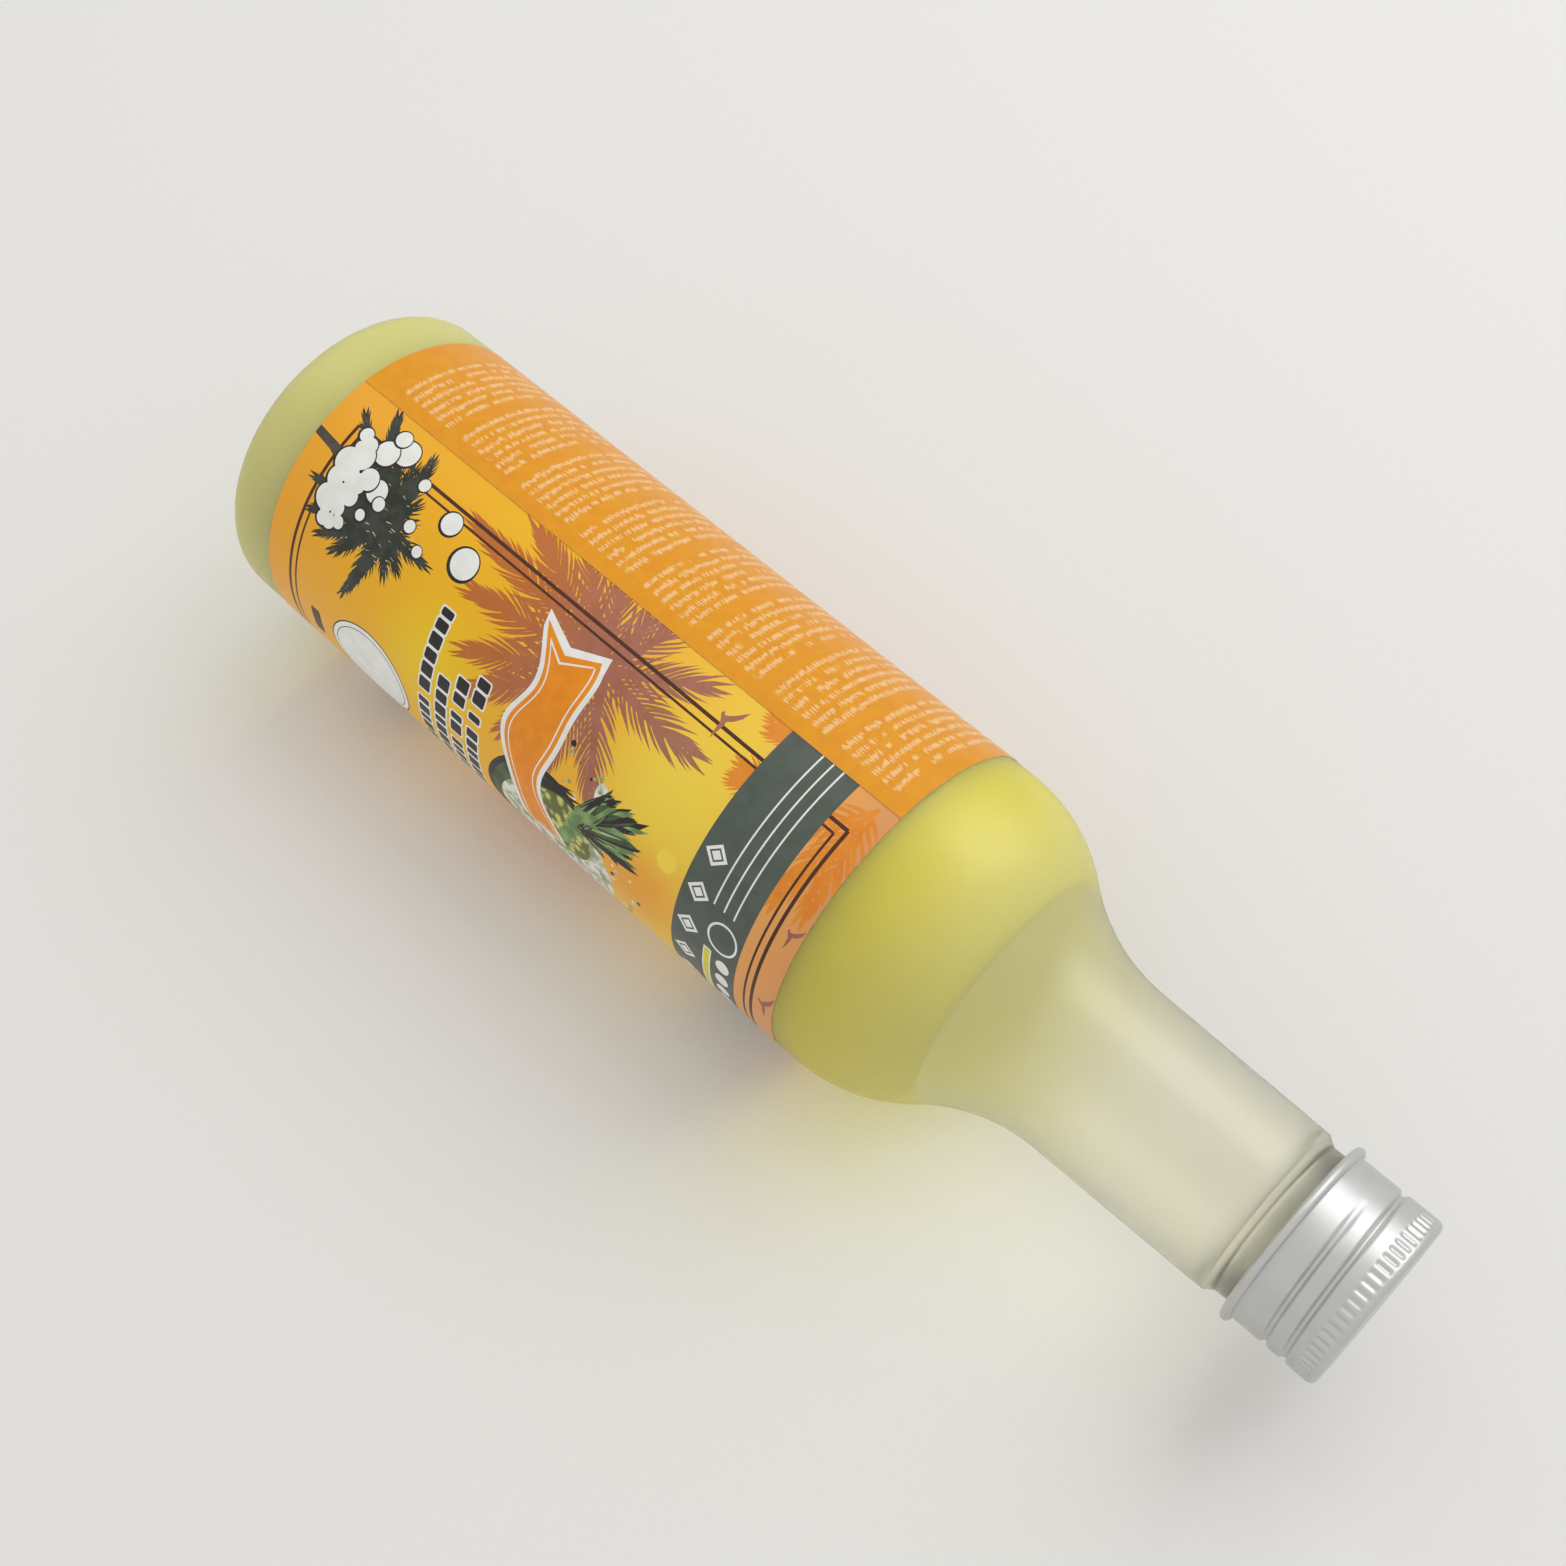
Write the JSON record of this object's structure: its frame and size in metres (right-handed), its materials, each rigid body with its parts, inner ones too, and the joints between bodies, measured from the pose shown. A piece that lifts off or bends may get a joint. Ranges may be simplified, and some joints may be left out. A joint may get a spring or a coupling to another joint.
{
  "type": "screw-cap shampoo bottle",
  "caption": "Slim round bottle with a long neck, wrap-around printed label and a screw cap of spun aluminium, holding liquid shampoo.",
  "frame": {"origin": "centre of the base, on the plane that the bottle stands on", "axes": "+Z along the bottle from the base to the cap; +X towards the middle of the label's front panel; the pictured bottle lies with its -Y side up"},
  "size_m": [0.055, 0.0551, 0.2142],
  "materials": {
    "frosted_plastic": "frosted, translucent",
    "printed_film": "printed film, semi-gloss",
    "liquid": "clear yellow-green liquid",
    "liner_foam": "soft foamed disc",
    "cap_aluminium": "satin, spun"
  },
  "bodies": {
    "bottle_body": {"bottle": "frosted_plastic", "label": "printed_film", "shampoo": "liquid"},
    "liner_body": {"cap_liner": "liner_foam"},
    "cap_body": {"cap": "cap_aluminium"}
  },
  "joints": [
    {"name": "cap_lift", "type": "slide", "parent": "bottle_body", "child": "liner_body", "axis": [0, 0, 1], "range_m": [0, 0.0161]},
    {"name": "cap_turn", "type": "hinge", "parent": "liner_body", "child": "cap_body", "pos_m": [0, 0, 0.2033], "axis": [0, 0, 1], "range_deg": [0, 1800]}
  ],
  "couplings": [
    {"joint": "cap_lift", "follows": "cap_turn", "m_per_rad": 0.0005093}
  ]
}
